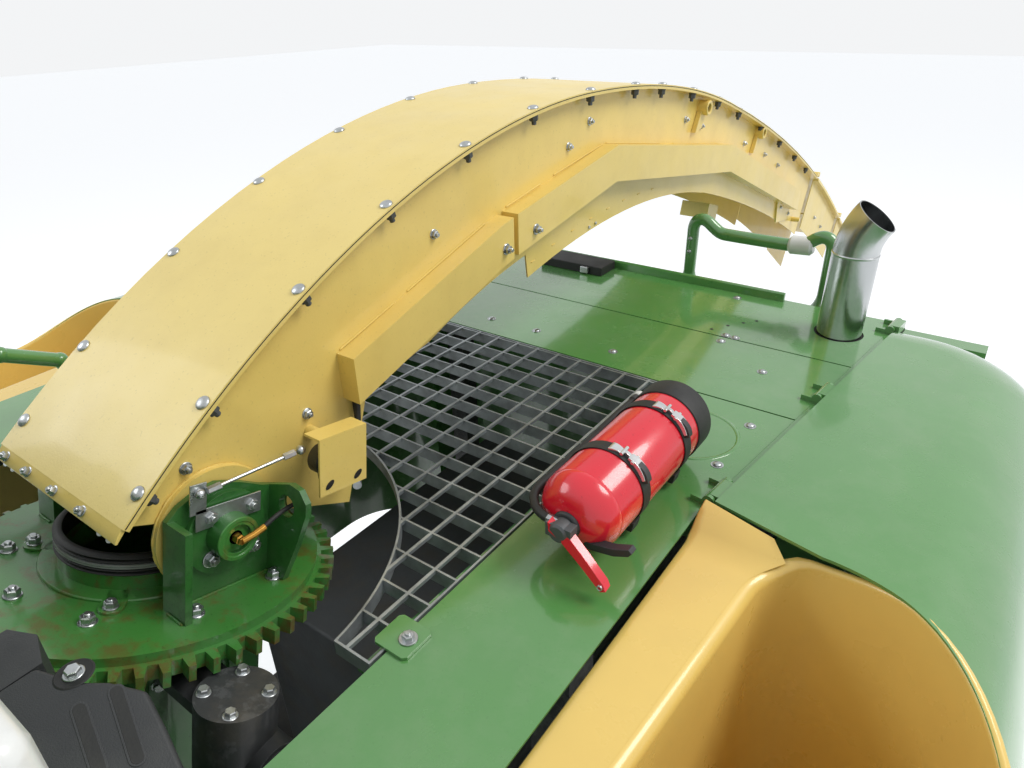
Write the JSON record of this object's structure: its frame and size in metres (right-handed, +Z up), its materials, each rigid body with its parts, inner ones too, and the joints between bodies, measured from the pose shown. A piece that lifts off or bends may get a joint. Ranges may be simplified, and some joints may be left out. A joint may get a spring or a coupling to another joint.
{
  "type": "self-propelled forage harvester",
  "caption": "Forage harvester with a slewing, lifting crop spout, hinged spout flaps, cab with door, lifting side hoods with air scoops, feed rolls and steered rear wheels.",
  "frame": {"origin": "centre of the bounding box on the ground", "axes": "+Y runs to the rear along the spout, +X to the machine's left, +Z up"},
  "size_m": [3, 7.6056, 3.841],
  "materials": {
    "green_paint": "semi-gloss green paint with dust",
    "beige_paint": "satin cream yellow paint",
    "dark_paint": "satin dark grey paint",
    "grey_casting": "rough grey castings",
    "tank_plastic": "moulded black plastic",
    "rim_paint": "pale cream rim paint",
    "tyre_rubber": "dull black rubber with dust",
    "galvanised": "spangled galvanised steel",
    "black_plastic": "grained black plastic",
    "black_rubber": "soft black rubber",
    "steel_tube": "bright stainless steel",
    "red_paint": "gloss red paint",
    "roof_plastic": "pale grey moulding",
    "window_glass": "tinted glass",
    "seat_fabric": "dark woven fabric",
    "lamp_plastic": "clear lamp lens in a pale housing"
  },
  "bodies": {
    "chassis": {"main_frame": "dark_paint", "roof_frame": "dark_paint", "engine_block": "grey_casting", "fuel_tanks": "tank_plastic", "front_axle": "dark_paint", "rear_axle": "dark_paint", "deck_sheets": "green_paint", "deck_sides": "green_paint", "grating": "galvanised", "crop_tower": "green_paint", "slew_drive": "black_plastic", "rear_cover": "black_plastic", "spout_rest": "green_paint", "exhaust_pipe": "steel_tube", "fire_extinguisher": "red_paint", "extinguisher_bracket": "black_plastic", "tail_body": "green_paint", "cab_frame": "green_paint", "cab_roof": "roof_plastic", "cab_glass": "window_glass", "driver_seat": "seat_fabric", "steering_console": "black_plastic", "platforms": "dark_paint", "handrails": "green_paint", "mirrors": "black_plastic", "work_lamps": "lamp_plastic"},
    "knuckle_left": {"knuckle_left": "dark_paint"},
    "knuckle_right": {"knuckle_right": "dark_paint"},
    "wheel_front_left": {"rim_front_left": "rim_paint", "tyre_front_left": "tyre_rubber"},
    "wheel_front_right": {"rim_front_right": "rim_paint", "tyre_front_right": "tyre_rubber"},
    "wheel_rear_left": {"rim_rear_left": "rim_paint", "tyre_rear_left": "tyre_rubber"},
    "wheel_rear_right": {"rim_rear_right": "rim_paint", "tyre_rear_right": "tyre_rubber"},
    "turret": {"slew_ring": "green_paint", "turret_brackets": "green_paint", "collar": "black_rubber"},
    "spout": {"spout_duct": "beige_paint", "spout_tail": "beige_paint", "spout_top_plate": "beige_paint"},
    "flap_first": {"flap_first": "beige_paint"},
    "flap_second": {"flap_second": "beige_paint"},
    "ram_barrel": {"spout_barrel": "dark_paint"},
    "ram_rod": {"spout_rod": "steel_tube"},
    "hood_left": {"hood_left": "green_paint", "scoop_left": "beige_paint"},
    "hood_right": {"hood_right": "green_paint", "scoop_right": "beige_paint"},
    "screen": {"screen_door": "dark_paint"},
    "door": {"door_frame": "green_paint", "door_glass": "window_glass"},
    "feed": {"feed_housing": "dark_paint"},
    "roll_lower_front": {"roll_lower_front": "galvanised"},
    "roll_upper_front": {"roll_upper_front": "galvanised"},
    "roll_lower_rear": {"roll_lower_rear": "galvanised"},
    "roll_upper_rear": {"roll_upper_rear": "galvanised"},
    "lift_barrels": {"lift_barrels": "dark_paint"},
    "lift_rods": {"lift_rods": "steel_tube"}
  },
  "joints": [
    {"name": "wheel_front_left_spin", "type": "hinge", "parent": "chassis", "child": "wheel_front_left", "pos_m": [1.175, -1.95276, 0.91], "axis": [1, 0, 0], "continuous": true},
    {"name": "wheel_front_right_spin", "type": "hinge", "parent": "chassis", "child": "wheel_front_right", "pos_m": [-1.175, -1.95276, 0.91], "axis": [1, 0, 0], "continuous": true},
    {"name": "steer_left", "type": "hinge", "parent": "chassis", "child": "knuckle_left", "pos_m": [0.86, 1.14724, 0.705], "axis": [0, 0, 1], "range_deg": [-38, 38]},
    {"name": "steer_right", "type": "hinge", "parent": "chassis", "child": "knuckle_right", "pos_m": [-0.86, 1.14724, 0.705], "axis": [0, 0, 1], "range_deg": [-38, 38]},
    {"name": "wheel_rear_left_spin", "type": "hinge", "parent": "knuckle_left", "child": "wheel_rear_left", "pos_m": [1.18, 1.14724, 0.705], "axis": [1, 0, 0], "continuous": true},
    {"name": "wheel_rear_right_spin", "type": "hinge", "parent": "knuckle_right", "child": "wheel_rear_right", "pos_m": [-1.18, 1.14724, 0.705], "axis": [1, 0, 0], "continuous": true},
    {"name": "spout_slew", "type": "hinge", "parent": "chassis", "child": "turret", "pos_m": [0, -1.00276, 3.165], "axis": [0, 0.2588, 0.9659], "range_deg": [-105, 105]},
    {"name": "spout_lift", "type": "hinge", "parent": "turret", "child": "spout", "pos_m": [0, -0.94548, 3.28217], "axis": [1, 0, 0], "range_deg": [-2, 30]},
    {"name": "flap_first_tilt", "type": "hinge", "parent": "spout", "child": "flap_first", "pos_m": [0, 2.64795, 3.18883], "axis": [-1, 0, 0], "range_deg": [0, 40]},
    {"name": "flap_second_tilt", "type": "hinge", "parent": "flap_first", "child": "flap_second", "pos_m": [0, 3.39953, 2.79841], "axis": [-1, 0, 0], "range_deg": [0, 45]},
    {"name": "ram_barrel_tilt", "type": "hinge", "parent": "turret", "child": "ram_barrel", "pos_m": [-0.197, -0.73776, 3.187], "axis": [1, 0, 0], "range_deg": [-3, 35]},
    {"name": "ram_rod_slide", "type": "slide", "parent": "ram_barrel", "child": "ram_rod", "axis": [0, 0.8941, 0.4479], "range_m": [-0.013, 0.128]},
    {"name": "hood_left_open", "type": "hinge", "parent": "chassis", "child": "hood_left", "pos_m": [0.859, 0.19724, 3.212], "axis": [-0.1191, -0.9929, 0], "range_deg": [0, 60]},
    {"name": "hood_right_open", "type": "hinge", "parent": "chassis", "child": "hood_right", "pos_m": [-0.859, 0.19724, 3.212], "axis": [-0.1191, 0.9929, 0], "range_deg": [0, 60]},
    {"name": "screen_open", "type": "hinge", "parent": "chassis", "child": "screen", "pos_m": [1.108, 1.90124, 2.04], "axis": [0, 0, -1], "range_deg": [0, 100]},
    {"name": "door_open", "type": "hinge", "parent": "chassis", "child": "door", "pos_m": [0.83, -1.95076, 2.75], "axis": [0, 0, 1], "range_deg": [0, 75]},
    {"name": "feed_lift", "type": "hinge", "parent": "chassis", "child": "feed", "pos_m": [0, -2.48276, 1.09], "axis": [-1, 0, 0], "range_deg": [0, 18]},
    {"name": "lift_barrels_tilt", "type": "hinge", "parent": "chassis", "child": "lift_barrels", "pos_m": [0, -2.08276, 0.76], "axis": [-1, 0, 0], "range_deg": [0, 12]},
    {"name": "lift_rods_slide", "type": "slide", "parent": "lift_barrels", "child": "lift_rods", "axis": [0, -0.9975, 0.0707], "range_m": [0, 0.082]},
    {"name": "roll_lower_front_spin", "type": "hinge", "parent": "feed", "child": "roll_lower_front", "pos_m": [0, -3.66276, 0.89], "axis": [1, 0, 0], "continuous": true},
    {"name": "roll_upper_front_spin", "type": "hinge", "parent": "feed", "child": "roll_upper_front", "pos_m": [0, -3.62276, 1.19], "axis": [1, 0, 0], "continuous": true},
    {"name": "roll_lower_rear_spin", "type": "hinge", "parent": "feed", "child": "roll_lower_rear", "pos_m": [0, -3.38276, 0.895], "axis": [1, 0, 0], "continuous": true},
    {"name": "roll_upper_rear_spin", "type": "hinge", "parent": "feed", "child": "roll_upper_rear", "pos_m": [0, -3.32276, 1.165], "axis": [1, 0, 0], "continuous": true}
  ],
  "couplings": [
    {"joint": "steer_right", "follows": "steer_left", "ratio": 1},
    {"joint": "ram_barrel_tilt", "follows": "spout_lift", "ratio": 1.1455},
    {"joint": "ram_rod_slide", "follows": "spout_lift", "m_per_rad": 0.20213},
    {"joint": "lift_barrels_tilt", "follows": "feed_lift", "ratio": 0.6577},
    {"joint": "lift_rods_slide", "follows": "feed_lift", "m_per_rad": 0.25506},
    {"joint": "roll_upper_front_spin", "follows": "roll_lower_front_spin", "ratio": -0.85714},
    {"joint": "roll_lower_rear_spin", "follows": "roll_lower_front_spin", "ratio": 1.2},
    {"joint": "roll_upper_rear_spin", "follows": "roll_lower_front_spin", "ratio": -1}
  ]
}
